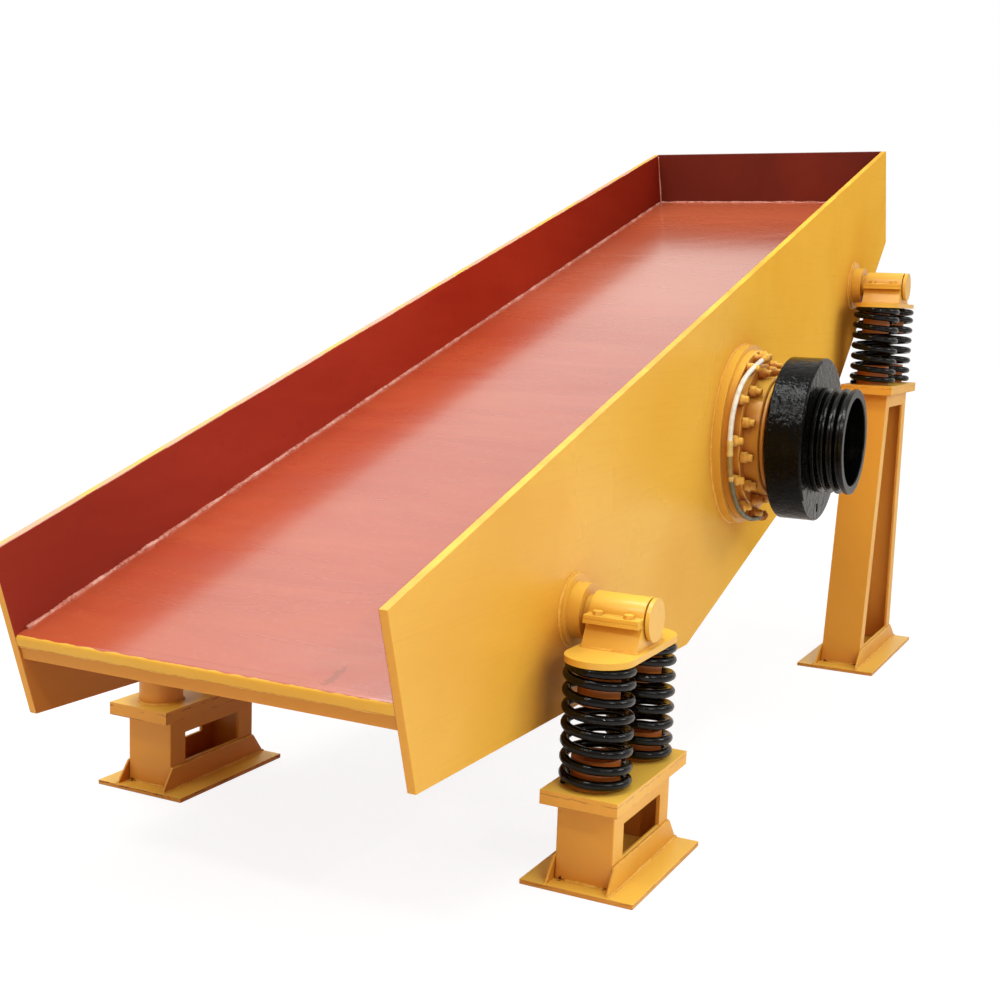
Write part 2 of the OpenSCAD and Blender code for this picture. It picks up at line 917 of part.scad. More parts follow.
// The base plate with two gussets that lean against the column's broad sides
module foot(end, side) {
    back = -column_l / 2;
    front = column_l / 2 + splay(end);
    over = base_over(end);
    foot_over = over - gusset_inset;
    low = base_t;
    high = base_t + gusset_h;
    column_side = column_w / 2 + seat_gap;
    color(paint)
        at_stand(end, side) {
            translate([back - over, stand_y - base_w / 2, 0])
                cube([front - back + 2 * over, base_w, base_t]);
            translate([0, stand_y, 0])
                for (k = [0, 1])
                    mirror([0, k, 0])
                        intersection() {
                            prism_y(column_side, gusset_t + gusset_lean)
                                polygon([
                                    [back - foot_over, low], [front + foot_over, low],
                                    [front, high], [back, high]
                                ]);
                            translate([back - over, 0, 0])
                                rotate([90, 0, 90])
                                    linear_extrude(front - back + 2 * over)
                                        polygon([
                                            [column_side + gusset_lean, low],
                                            [column_side + gusset_lean + gusset_t, low],
                                            [column_side + gusset_t, high],
                                            [column_side, high]
                                        ]);
                        }
        }
}

// ---- nodes ----

side_plate(DRIVE);  // side_plate_drive
side_plate(FREE);  // side_plate_free
deck_plate();
back_plate();
discharge_lip();
deck_crossbeams();
exciter_tube();
mounting_ring(DRIVE);  // mounting_ring_drive
mounting_ring(FREE);  // mounting_ring_free
bearing_housing(DRIVE);  // bearing_housing_drive
bearing_housing(FREE);  // bearing_housing_free
bearing(DRIVE);  // bearing_drive
bearing(FREE);  // bearing_free
bearing_cover(DRIVE);  // bearing_cover_drive
bearing_cover(FREE);  // bearing_cover_free
housing_bolts(DRIVE);  // housing_bolts_drive
housing_bolts(FREE);  // housing_bolts_free
cover_bolt_set(DRIVE);  // cover_bolts_drive
cover_bolt_set(FREE);  // cover_bolts_free
grease_line();
line_fittings();
shaft();
eccentric(DRIVE);  // eccentric_drive
eccentric(FREE);  // eccentric_free
pulley();
trunnion(FRONT, DRIVE);  // trunnion_front_drive
trunnion(FRONT, FREE);  // trunnion_front_free
trunnion(REAR, DRIVE);  // trunnion_rear_drive
trunnion(REAR, FREE);  // trunnion_rear_free
saddle(FRONT, DRIVE);  // saddle_front_drive
saddle(FRONT, FREE);  // saddle_front_free
saddle(REAR, DRIVE);  // saddle_rear_drive
saddle(REAR, FREE);  // saddle_rear_free
clamp(FRONT, DRIVE);  // clamp_front_drive
clamp(FRONT, FREE);  // clamp_front_free
clamp(REAR, DRIVE);  // clamp_rear_drive
clamp(REAR, FREE);  // clamp_rear_free
clamp_bolts(FRONT, DRIVE);  // clamp_bolts_front_drive
clamp_bolts(FRONT, FREE);  // clamp_bolts_front_free
clamp_bolts(REAR, DRIVE);  // clamp_bolts_rear_drive
clamp_bolts(REAR, FREE);  // clamp_bolts_rear_free
springs(FRONT, DRIVE);  // springs_front_drive
springs(FRONT, FREE);  // springs_front_free
springs(REAR, DRIVE);  // springs_rear_drive
springs(REAR, FREE);  // springs_rear_free
cap(FRONT, DRIVE);  // cap_front_drive
cap(FRONT, FREE);  // cap_front_free
cap(REAR, DRIVE);  // cap_rear_drive
cap(REAR, FREE);  // cap_rear_free
column(FRONT, DRIVE);  // column_front_drive
column(FRONT, FREE);  // column_front_free
column(REAR, DRIVE);  // column_rear_drive
column(REAR, FREE);  // column_rear_free
foot(FRONT, DRIVE);  // foot_front_drive
foot(FRONT, FREE);  // foot_front_free
foot(REAR, DRIVE);  // foot_rear_drive
foot(REAR, FREE);  // foot_rear_free
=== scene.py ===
# Looks of the vibratory feeder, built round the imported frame. Metres, +X the way the
# material runs, +Y the belt pulley's side, +Z up.
import math
import random

import bmesh
import bpy
from mathutils import Matrix, Vector
from mathutils import noise


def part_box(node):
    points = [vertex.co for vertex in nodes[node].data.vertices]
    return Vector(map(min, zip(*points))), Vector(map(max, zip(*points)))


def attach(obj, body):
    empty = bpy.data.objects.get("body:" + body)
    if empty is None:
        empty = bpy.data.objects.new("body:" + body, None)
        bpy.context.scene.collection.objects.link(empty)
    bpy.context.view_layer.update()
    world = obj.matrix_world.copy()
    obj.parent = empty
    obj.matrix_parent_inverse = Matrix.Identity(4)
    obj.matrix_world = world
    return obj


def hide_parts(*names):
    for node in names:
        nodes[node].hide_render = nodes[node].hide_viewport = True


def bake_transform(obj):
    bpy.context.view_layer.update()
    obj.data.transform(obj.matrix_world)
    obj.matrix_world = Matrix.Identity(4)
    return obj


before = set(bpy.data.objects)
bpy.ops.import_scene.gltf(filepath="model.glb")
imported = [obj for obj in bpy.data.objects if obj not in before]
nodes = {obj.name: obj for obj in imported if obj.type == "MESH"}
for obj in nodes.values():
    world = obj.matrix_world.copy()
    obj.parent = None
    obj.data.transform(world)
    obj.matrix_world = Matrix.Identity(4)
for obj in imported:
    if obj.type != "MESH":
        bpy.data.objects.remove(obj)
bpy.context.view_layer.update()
rng = random.Random(7)
noise.seed_set(7)  # noise_vector differs from run to run without it

# ---- sizes shared with the part's source ----
SLOPE = math.radians(17.6)
SIN, COS = math.sin(SLOPE), math.cos(SLOPE)
SIDES = ("drive", "free")
ENDS = ("front", "rear")
TROUGH_L = 4.0
WALL_H = 0.205
DECK_T = 0.012
WIRE_D = 0.022
SPRING_OD = 0.168
COIL_PITCH = 0.040
END_RISE = WIRE_D + 0.0005
END_TURN = math.radians(117)
SPRING_GAP = 0.260
BASE_T = 0.012
CAP_T = 0.033
GUSSET_H = 0.055
GUSSET_T = 0.006
GUSSET_INSET = 0.003
COLUMN_L = 0.352
PAD_R = 0.086
RING_R = 0.272
TUBE_R = 0.160
SEAT_T = 0.015
SADDLE_FOOT = 0.086
AXIS_H = 0.080           # trunnion axis above the underside of the seat plate
CLAMP_L = 0.136
LOWER_GUIDE_D = 0.114
NOSE_H, LIP_SETBACK = 0.026, 0.005
BEAM_W = 0.100
BEAM_S = (0.360, 0.978, 1.596, 2.436, 3.038, 3.640)
BOLTS = 12
BOLT_CIRCLES = ((0.238, 0.050), (0.198, 0.068))  # radius, and where the nuts stand off the plate
LINE_R, LINE_D = 0.268, 0.015
PIPE_FROM, PIPE_TO = -105, 79    # degrees about the hub


def middle(name):
    lo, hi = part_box(name)
    return Vector([(a + b) / 2 for a, b in zip(lo, hi)])


def corners(name):
    lo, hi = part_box(name)
    return Vector(lo), Vector(hi)


plate_lo, plate_hi = corners("side_plate_drive")
free_lo, free_hi = corners("side_plate_free")
OUT_D, IN_D = plate_hi.y, plate_lo.y
OUT_F, IN_F = free_lo.y, free_hi.y
MID_Y = (OUT_D + OUT_F) / 2
TOP = Vector((plate_hi.x, MID_Y, plate_hi.z - TROUGH_L * SIN))
HUB = middle("shaft")


def trough(s, h, y=MID_Y):
    """The point s up the top edge from the discharge end and h below it."""
    return Vector((TOP.x - s * COS - h * SIN, y, TOP.z + s * SIN - h * COS))


# ---- node helpers ----
def new_material(name):
    m = bpy.data.materials.new(name)
    m.use_nodes = True
    nt = m.node_tree
    nt.nodes.clear()
    out = nt.nodes.new("ShaderNodeOutputMaterial")
    bsdf = nt.nodes.new("ShaderNodeBsdfPrincipled")
    nt.links.new(bsdf.outputs[0], out.inputs[0])
    return m, nt, bsdf


def add(nt, kind, **props):
    n = nt.nodes.new(kind)
    for k, v in props.items():
        setattr(n, k, v)
    return n


def link(nt, a, b):
    nt.links.new(a, b)


def position(nt):
    return add(nt, "ShaderNodeTexCoord").outputs["Object"]


def noise_tex(nt, vec, scale, detail=3.0, rough=0.5, distort=0.0):
    n = add(nt, "ShaderNodeTexNoise")
    n.inputs["Scale"].default_value = scale
    n.inputs["Detail"].default_value = detail
    n.inputs["Roughness"].default_value = rough
    n.inputs["Distortion"].default_value = distort
    link(nt, vec, n.inputs["Vector"])
    return n.outputs["Fac"]


def remap(nt, fac, a, b, lo, hi, smooth=False):
    n = add(nt, "ShaderNodeMapRange")
    if smooth:
        n.interpolation_type = "SMOOTHSTEP"
    for i, v in zip(("From Min", "From Max", "To Min", "To Max"), (a, b, lo, hi)):
        n.inputs[i].default_value = v
    link(nt, fac, n.inputs["Value"])
    return n.outputs["Result"]


def maths(nt, op, a, b=0.0):
    n = add(nt, "ShaderNodeMath", operation=op)
    for i, v in enumerate((a, b)):
        if hasattr(v, "is_linked"):
            link(nt, v, n.inputs[i])
        else:
            n.inputs[i].default_value = v
    return n.outputs[0]


def mix(nt, fac, a, b):
    n = add(nt, "ShaderNodeMix", data_type="RGBA")
    for sock, v in ((n.inputs[0], fac), (n.inputs[6], a), (n.inputs[7], b)):
        if hasattr(v, "is_linked"):
            link(nt, v, sock)
        elif isinstance(v, (int, float)):
            sock.default_value = v
        else:
            sock.default_value = (*v, 1.0) if len(v) == 3 else v
    return n.outputs[2]


def bump(nt, bsdf, height, strength, distance):
    n = add(nt, "ShaderNodeBump")
    n.inputs["Strength"].default_value = strength
    n.inputs["Distance"].default_value = distance
    link(nt, height, n.inputs["Height"])
    link(nt, n.outputs[0], bsdf.inputs["Normal"])


def split(nt, vec):
    n = add(nt, "ShaderNodeSeparateXYZ")
    link(nt, vec, n.inputs[0])
    return n.outputs


def facing(nt):
    """The three parts of the surface normal."""
    return split(nt, add(nt, "ShaderNodeNewGeometry").outputs["Normal"])


def rgb(r, g, b):
    """sRGB 0-255 as linear."""
    def f(c):
        c /= 255
        return c / 12.92 if c <= 0.04045 else ((c + 0.055) / 1.055) ** 2.4
    return (f(r), f(g), f(b))


YELLOW = rgb(228, 176, 68)
YELLOW_DEEP = rgb(221, 164, 57)
WALL_RED = rgb(168, 53, 33)


def along_slope(nt, pos, sx, sy, sz):
    """The position turned to the trough's slope and stretched."""
    mp = add(nt, "ShaderNodeMapping")
    link(nt, pos, mp.inputs["Vector"])
    mp.inputs["Rotation"].default_value = (0.0, -SLOPE, 0.0)
    mp.inputs["Scale"].default_value = (sx, sy, sz)
    return mp.outputs[0]


def trough_depth(nt, x, z):
    """Depth below the plane of the trough's top edges."""
    dx = maths(nt, "MULTIPLY", maths(nt, "SUBTRACT", x, TOP.x), -SIN)
    dz = maths(nt, "MULTIPLY", maths(nt, "SUBTRACT", z, TOP.z), -COS)
    return maths(nt, "ADD", dx, dz)


def trough_run(nt, x, z):
    """Distance up the slope from the discharge end."""
    dx = maths(nt, "MULTIPLY", maths(nt, "SUBTRACT", x, TOP.x), -COS)
    dz = maths(nt, "MULTIPLY", maths(nt, "SUBTRACT", z, TOP.z), SIN)
    return maths(nt, "ADD", dx, dz)


def spot(nt, pos, at, reach, stretch=(1, 1, 1), rough=40.0):
    """A ragged mask that is 1 at a point and 0 beyond its reach."""
    mp = add(nt, "ShaderNodeMapping", vector_type="TEXTURE")
    link(nt, pos, mp.inputs["Vector"])
    mp.inputs["Location"].default_value = at
    mp.inputs["Scale"].default_value = stretch
    ln = add(nt, "ShaderNodeVectorMath", operation="LENGTH")
    link(nt, mp.outputs[0], ln.inputs[0])
    ragged = maths(nt, "MULTIPLY", maths(nt, "SUBTRACT", noise_tex(nt, pos, rough, 3.0), 0.5), reach * 3.0)
    return remap(nt, maths(nt, "ADD", ln.outputs["Value"], ragged), reach * 0.6, reach, 1.0, 0.0, True)


def paint_nodes(nt, pos, base, deep, mottle=2.2):
    """Brushed-on enamel: broad mottling, fine speckle and orange peel."""
    broad = noise_tex(nt, pos, mottle, 4.0, 0.55, 0.4)
    fine = noise_tex(nt, pos, 34.0, 4.0, 0.6)
    col = mix(nt, remap(nt, broad, 0.35, 0.7, 0.0, 1.0, True), base, deep)
    speck = remap(nt, fine, 0.60, 0.80, 0.0, 0.16)
    return mix(nt, speck, col, tuple(c * 0.72 for c in deep)), broad, fine


def paint_light_and_shade(nt, col, deeper=0.75, shade=0.8):
    """Painted light and shade by face direction: upward faces lighter as painted light, faces towards +X
    deeper as painted shade, and recesses brown as painted shade from an ambient-occlusion node. Tones by
    direction, matched to the photo: lighter upward, deeper towards +X, brown in recesses."""
    nx, _, nz = facing(nt)
    # painted light on upward faces, painted shade on faces towards +X
    col = mix(nt, remap(nt, nz, 0.3, 0.95, 0.0, 0.75, True), col, rgb(246, 204, 86))
    col = mix(nt, remap(nt, nx, 0.4, 0.95, 0.0, deeper, True), col, rgb(224, 146, 54))
    # painted shade in recesses and between parts, less of it on upward faces
    if shade:
        ao = add(nt, "ShaderNodeAmbientOcclusion")
        ao.samples = 6
        ao.inputs["Distance"].default_value = 0.22
        deep = remap(nt, ao.outputs["AO"], 0.15, 0.85, shade, 0.0, True)
        deep = maths(nt, "MULTIPLY", deep, remap(nt, nz, 0.3, 0.95, 1.0, 0.25, True))
        col = mix(nt, deep, col, rgb(176, 84, 28))
    return col


def enamel(name, base, deep, rough=(0.26, 0.42), coat=0.08, peel=0.10, deeper=0.75, shade=0.75,
           light_painted=True, flank=0.0, cut=None, cut_depth=0.5, tubes=None, holes=()):
    """Painted steel. flank is painted shade that browns the faces towards +Y, under the trough. cut is
    a height band (low, high) whose upright faces are flame-cut edges. tubes is (height, way) and
    browns what lies past that height, as painted shade inside the springs. holes are open weld corners, each
    a place and a reach."""
    m, nt, bsdf = new_material(name)
    pos = position(nt)
    col, broad, fine = paint_nodes(nt, pos, base, deep)
    peel_tex = noise_tex(nt, pos, 260.0, 2.0, 0.5)
    height = maths(nt, "ADD", maths(nt, "MULTIPLY", peel_tex, 0.35), fine)
    # painted light and shade by face direction
    if light_painted:
        col = paint_light_and_shade(nt, col, deeper, shade)
    # painted shade on faces towards +Y
    if flank:
        col = mix(nt, remap(nt, facing(nt)[1], 0.4, 0.95, 0.0, flank, True), col, rgb(196, 104, 38))
    if cut:
        z = split(nt, pos)[2]
        upright = maths(nt, "LESS_THAN", maths(nt, "ABSOLUTE", facing(nt)[2]), 0.5)
        band = maths(nt, "MULTIPLY", maths(nt, "GREATER_THAN", z, cut[0]), maths(nt, "LESS_THAN", z, cut[1]))
        edge = maths(nt, "MULTIPLY", upright, band)
        mp = add(nt, "ShaderNodeMapping")
        link(nt, pos, mp.inputs["Vector"])
        mp.inputs["Scale"].default_value = (1.0, 1.0, 0.12)
        drag = noise_tex(nt, mp.outputs[0], 150.0, 3.0, 0.7)
        sway = maths(nt, "MULTIPLY", maths(nt, "SUBTRACT", noise_tex(nt, pos, 26.0, 5.0, 0.7), 0.5), 0.016)
        line = maths(nt, "SUBTRACT", maths(nt, "ADD", z, sway), cut[0] + 0.74 * (cut[1] - cut[0]))
        scorch = remap(nt, maths(nt, "ABSOLUTE", line), 0.0006, 0.0022, cut_depth, 0.0, True)
        foot = remap(nt, maths(nt, "ADD", z, maths(nt, "MULTIPLY", sway, 0.2)),
                     cut[0] + 0.0012, cut[0] + 0.0040, cut_depth, 0.0, True)
        scorch = maths(nt, "MAXIMUM", scorch, foot)
        patchy = remap(nt, noise_tex(nt, pos, 17.0, 3.0, 0.6), 0.42, 0.58, 0.0, 1.0, True)
        scorch = maths(nt, "MULTIPLY", scorch, patchy)
        col = mix(nt, maths(nt, "MULTIPLY", edge, scorch), col, rgb(104, 56, 14))
        height = maths(nt, "ADD", height, maths(nt, "MULTIPLY", maths(nt, "MULTIPLY", drag, edge), 7.0))
    # painted shade past the given height, on the guide tubes inside the springs
    if tubes:
        z = split(nt, pos)[2]
        past = maths(nt, "MULTIPLY", maths(nt, "SUBTRACT", z, tubes[0]), tubes[1])
        col = mix(nt, remap(nt, past, 0.001, 0.006, 0.0, 0.8, True), col, rgb(192, 96, 42))
    for at, reach in holes:
        col = mix(nt, spot(nt, pos, at, reach, rough=110.0), col, rgb(74, 42, 14))
    link(nt, col, bsdf.inputs["Base Color"])
    link(nt, remap(nt, broad, 0.3, 0.7, rough[0], rough[1]), bsdf.inputs["Roughness"])
    bump(nt, bsdf, height, peel, 0.002)
    bsdf.inputs["Specular IOR Level"].default_value = 0.3
    bsdf.inputs["Coat Weight"].default_value = coat
    bsdf.inputs["Coat Roughness"].default_value = 0.18
    return m


yellow = enamel("yellow_enamel", YELLOW, YELLOW_DEEP, peel=0.4, deeper=0.0, shade=0.3)
exciter_yellow = enamel("exciter_enamel", YELLOW, YELLOW_DEEP, peel=0.2, deeper=0.2, shade=0.9)
ring_yellow = enamel("ring_enamel", YELLOW, YELLOW_DEEP, peel=0.2, deeper=0.0, shade=0.35)


def two_faced(name, inner_y, free):
    """Yellow outside, red inside above the deck and brown inside below it."""
    m, nt, bsdf = new_material(name)
    pos = position(nt)
    x, y, z = split(nt, pos)
    col, broad, fine = paint_nodes(nt, pos, YELLOW, YELLOW_DEEP, 1.3)
    brush = noise_tex(nt, along_slope(nt, pos, 1.2, 1.0, 60.0), 3.0, 3.0, 0.6)
    col = mix(nt, remap(nt, brush, 0.5, 0.8, 0.0, 0.25), col, rgb(210, 150, 50))
    # painted light and shade by face direction
    col = paint_light_and_shade(nt, col, 0.6, 0.7)
    depth = trough_depth(nt, x, z)
    wobble = maths(nt, "MULTIPLY", maths(nt, "SUBTRACT", noise_tex(nt, pos, 9.0, 3.0), 0.5), 0.008)
    above = maths(nt, "LESS_THAN", maths(nt, "ADD", depth, wobble), WALL_H + 0.004)
    rim = maths(nt, "LESS_THAN", depth, 0.0022)
    face = maths(nt, "LESS_THAN", maths(nt, "ABSOLUTE", maths(nt, "SUBTRACT", y, inner_y)), 0.0015)
    inside = maths(nt, "MULTIPLY", above, face)
    streaks = noise_tex(nt, along_slope(nt, pos, 0.6, 1.0, 3.0), 3.0, 3.0, 0.6)
    red = mix(nt, remap(nt, streaks, 0.35, 0.7, 0.0, 1.0), WALL_RED, rgb(158, 46, 28))
    red = mix(nt, remap(nt, fine, 0.56, 0.8, 0.0, 0.3), red, rgb(120, 34, 20))
    run = trough_run(nt, x, z)
    # painted shade: the red darker towards both ends of the trough, most at the rear
    ends = maths(nt, "MAXIMUM", remap(nt, run, 0.0, 1.1, 0.55, 0.0, True),
                 remap(nt, run, 2.2, TROUGH_L, 0.0, 0.8, True))
    red = mix(nt, ends, red, rgb(118, 34, 20))
    below = maths(nt, "MULTIPLY", face, maths(nt, "SUBTRACT", 1.0, above))
    col = mix(nt, maths(nt, "MULTIPLY", below, 0.8), col, rgb(176, 92, 32))
    col = mix(nt, inside, col, red)
    # pale patches along the top edges: strong and pinkish on the far plate, faint and orange on the near one
    rim_range, edge_col = ((0.15, 0.95), rgb(226, 172, 150)) if free else ((0.0, 0.35), rgb(206, 120, 60))
    rim_patches = remap(nt, noise_tex(nt, pos, 7.0, 4.0, 0.6), 0.40, 0.62, *rim_range)
    col = mix(nt, maths(nt, "MULTIPLY", rim, rim_patches), col, edge_col)
    link(nt, col, bsdf.inputs["Base Color"])
    rough = remap(nt, broad, 0.3, 0.7, 0.24, 0.38)
    dull = maths(nt, "MULTIPLY", inside, 0.22)
    link(nt, maths(nt, "ADD", rough, dull), bsdf.inputs["Roughness"])
    wave = noise_tex(nt, pos, 3.2, 1.0, 0.4)
    height = maths(nt, "ADD", maths(nt, "MULTIPLY", wave, 2.0), maths(nt, "MULTIPLY", fine, 0.10))
    bump(nt, bsdf, height, 0.3, 0.003)
    # less gloss up the slope, where a grazing view would show a white sheen
    link(nt, remap(nt, run, 0.4, 2.2, 0.2, 0.0, True), bsdf.inputs["Specular IOR Level"])
    return m


plate_drive = two_faced("plate_enamel_drive", IN_D, False)
plate_free = two_faced("plate_enamel_free", IN_F, True)


def deck_material(name, lip=False):
    """Thick glossy red paint over a plate that isn't quite flat; the lip is yellow before it."""
    m, nt, bsdf = new_material(name)
    pos = position(nt)
    x, y, z = split(nt, pos)
    flow = noise_tex(nt, along_slope(nt, pos, 2.6, 0.5, 1.0), 2.4, 5.0, 0.6, 0.6)
    rips = noise_tex(nt, along_slope(nt, pos, 9.0, 0.7, 1.0), 3.0, 4.0, 0.6, 0.3)
    fine = noise_tex(nt, pos, 60.0, 4.0, 0.65)
    col = mix(nt, remap(nt, flow, 0.32, 0.68, 0.0, 1.0, True), rgb(190, 88, 52), rgb(178, 74, 43))
    col = mix(nt, remap(nt, rips, 0.45, 0.75, 0.0, 0.35), col, rgb(186, 62, 38))
    col = mix(nt, remap(nt, fine, 0.56, 0.82, 0.0, 0.25), col, rgb(216, 130, 104))
    run = trough_run(nt, x, z)
    # painted reflection: the pale stretch about 2.9 m up the slope; painted light: the lighter rear end
    painted_reflection = remap(nt, maths(nt, "ABSOLUTE", maths(nt, "SUBTRACT", run, 2.9)), 0.2, 0.8, 0.55, 0.0, True)
    col = mix(nt, maths(nt, "MULTIPLY", painted_reflection, remap(nt, flow, 0.3, 0.7, 0.6, 1.0)), col, rgb(214, 130, 100))
    rear = remap(nt, run, 3.25, 3.8, 0.0, 0.8, True)
    col = mix(nt, rear, col, rgb(234, 122, 80))
    smear = spot(nt, pos, trough(0.052, WALL_H, MID_Y + 0.310), 0.011, (4.6, 1.0, 4.6), 60.0)
    col = mix(nt, maths(nt, "MULTIPLY", smear, 0.9), col, rgb(158, 66, 18))
    near = spot(nt, pos, trough(0.05, WALL_H, MID_Y + 0.30), 0.11, (1, 1, 1), 9.0)
    grit = remap(nt, noise_tex(nt, pos, 95.0, 2.0, 0.5), 0.68, 0.72, 0.0, 0.8)
    col = mix(nt, maths(nt, "MULTIPLY", near, grit), col, rgb(128, 58, 30))
    link(nt, remap(nt, flow, 0.3, 0.7, 0.20, 0.32), bsdf.inputs["Roughness"])
    wave = noise_tex(nt, along_slope(nt, pos, 1.4, 0.8, 1.0), 4.0, 2.0, 0.5, 0.5)
    height = maths(nt, "ADD", maths(nt, "MULTIPLY", wave, 3.0), maths(nt, "MULTIPLY", rips, 0.12))
    height = maths(nt, "ADD", height, maths(nt, "MULTIPLY", fine, 0.04))
    # tilts the gloss across the width, in shading only, so the deck mirrors less of the far wall
    height = maths(nt, "ADD", height, maths(nt, "MULTIPLY", y, -30.0))
    bump(nt, bsdf, height, 0.45, 0.003)
    bsdf.inputs["IOR"].default_value = 1.6
    if lip:
        ycol = paint_light_and_shade(nt, paint_nodes(nt, pos, YELLOW, YELLOW_DEEP)[0], 0.15, 0.5)
        depth = trough_depth(nt, x, z)
        ragged = maths(nt, "MULTIPLY", maths(nt, "SUBTRACT", noise_tex(nt, pos, 30.0, 4.0), 0.5), 0.008)
        top = maths(nt, "LESS_THAN", depth, WALL_H + 0.0035)
        behind = maths(nt, "GREATER_THAN", maths(nt, "ADD", run, ragged), 0.006)
        red = maths(nt, "MULTIPLY", top, behind)
        seam = maths(nt, "ADD", depth, maths(nt, "MULTIPLY", ragged, 0.5))
        seam = maths(nt, "SUBTRACT", seam, WALL_H + NOSE_H)
        # painted shade on the beam below the nose
        under = remap(nt, seam, -0.002, 0.002, 0.0, 0.7, True)
        ycol = mix(nt, under, ycol, rgb(198, 118, 42))
        gap = remap(nt, maths(nt, "ABSOLUTE", seam), 0.0006, 0.0024, 0.4, 0.0, True)
        ycol = mix(nt, gap, ycol, rgb(128, 66, 20))
        col = mix(nt, red, ycol, col)
        link(nt, red, bsdf.inputs["Coat Weight"])
        link(nt, maths(nt, "ADD", maths(nt, "MULTIPLY", red, 0.38), 0.12), bsdf.inputs["Specular IOR Level"])
    else:
        bsdf.inputs["Coat Weight"].default_value = 1.0
    bsdf.inputs["Coat IOR"].default_value = 1.68
    bsdf.inputs["Coat Roughness"].default_value = 0.16
    link(nt, col, bsdf.inputs["Base Color"])
    return m


deck = deck_material("deck_enamel")
lip_paint = deck_material("lip_enamel", True)
lining = enamel("back_enamel", rgb(120, 36, 16), rgb(104, 30, 12), rough=(0.5, 0.65), coat=0.0,
                light_painted=False)


def black_gloss(name, lumps, rough, shine):
    """Black gloss paint, lumpy where it lies over a raw casting."""
    m, nt, bsdf = new_material(name)
    pos = position(nt)
    broad = noise_tex(nt, pos, 9.0, 3.0, 0.5)
    fine = noise_tex(nt, pos, 130.0, 3.0, 0.6)
    cast = noise_tex(nt, pos, 42.0, 3.0, 0.55, 0.3)
    link(nt, mix(nt, broad, (0.0005, 0.0005, 0.0006), (0.0016, 0.0015, 0.0014)), bsdf.inputs["Base Color"])
    link(nt, remap(nt, fine, 0.3, 0.7, rough * 0.8, rough * 1.5), bsdf.inputs["Roughness"])
    bump(nt, bsdf, maths(nt, "ADD", cast, maths(nt, "MULTIPLY", fine, 0.3)), lumps, 0.004)
    bsdf.inputs["Specular IOR Level"].default_value = shine
    return m


black_cast = black_gloss("black_cast", 0.8, 0.08, 0.14)
black_turned = black_gloss("black_turned", 0.10, 0.2, 0.22)
black_spring = black_gloss("black_spring", 0.35, 0.07, 0.24)


def steel_material():
    """Turned steel: fine rings about the hub's axis and a few stains."""
    m, nt, bsdf = new_material("turned_steel")
    pos = position(nt)
    x, y, z = split(nt, pos)
    dx = maths(nt, "SUBTRACT", x, HUB.x)
    dz = maths(nt, "SUBTRACT", z, HUB.z)
    rad = maths(nt, "SQRT", maths(nt, "ADD", maths(nt, "MULTIPLY", dx, dx), maths(nt, "MULTIPLY", dz, dz)))
    comb = add(nt, "ShaderNodeCombineXYZ")
    link(nt, rad, comb.inputs[0])
    link(nt, y, comb.inputs[1])
    rings = noise_tex(nt, comb.outputs[0], 900.0, 2.0)
    stain = noise_tex(nt, pos, 16.0, 4.0)
    link(nt, mix(nt, stain, rgb(150, 148, 144), rgb(112, 108, 102)), bsdf.inputs["Base Color"])
    bsdf.inputs["Metallic"].default_value = 1.0
    link(nt, remap(nt, rings, 0.3, 0.7, 0.25, 0.45), bsdf.inputs["Roughness"])
    bump(nt, bsdf, rings, 0.08, 0.0005)
    return m


steel = steel_material()


def line_material():
    """White nylon pipe above the coupling and grey, oily pipe below it."""
    m, nt, bsdf = new_material("grease_pipe")
    pos = position(nt)
    z = split(nt, pos)[2]
    low = maths(nt, "LESS_THAN", z, HUB.z - 0.02)
    lower = remap(nt, z, HUB.z - 0.125, HUB.z - 0.10, 1.0, 0.0, True)
    grime = noise_tex(nt, pos, 50.0, 4.0)
    white = mix(nt, remap(nt, grime, 0.45, 0.75, 0.0, 0.6), rgb(232, 230, 220), rgb(186, 178, 150))
    olive = mix(nt, grime, rgb(170, 144, 82), rgb(128, 100, 48))
    grey = mix(nt, lower, olive, mix(nt, grime, rgb(122, 116, 86), rgb(74, 68, 48)))
    link(nt, mix(nt, low, white, grey), bsdf.inputs["Base Color"])
    link(nt, remap(nt, grime, 0.3, 0.7, 0.3, 0.5), bsdf.inputs["Roughness"])
    bump(nt, bsdf, grime, 0.15, 0.001)
    return m


grease = line_material()
rusty = enamel("elbow_enamel", rgb(176, 98, 36), rgb(128, 62, 22), rough=(0.45, 0.65), coat=0.0, peel=0.3)
sleeve_paint = enamel("sleeve_enamel", rgb(226, 204, 128), rgb(196, 160, 80), rough=(0.35, 0.5), deeper=0.0)


def weld_material(name, base, deep, pale):
    """Lumpy weld metal under paint, with the odd pale or bare patch."""
    m, nt, bsdf = new_material(name)
    pos = position(nt)
    lump = noise_tex(nt, pos, 120.0, 4.0, 0.65)
    patch = noise_tex(nt, pos, 26.0, 4.0, 0.6)
    col = mix(nt, remap(nt, lump, 0.4, 0.65, 0.0, 1.0), base, deep)
    link(nt, mix(nt, remap(nt, patch, 0.46, 0.62, 0.0, 0.9), col, pale), bsdf.inputs["Base Color"])
    link(nt, remap(nt, lump, 0.3, 0.7, 0.35, 0.6), bsdf.inputs["Roughness"])
    bump(nt, bsdf, lump, 0.6, 0.002)
    return m


weld_yellow = weld_material("weld_yellow", rgb(230, 172, 60), rgb(214, 150, 48), rgb(236, 184, 76))
weld_lining = weld_material("weld_lining", rgb(206, 132, 112), rgb(160, 66, 44), rgb(226, 172, 156))
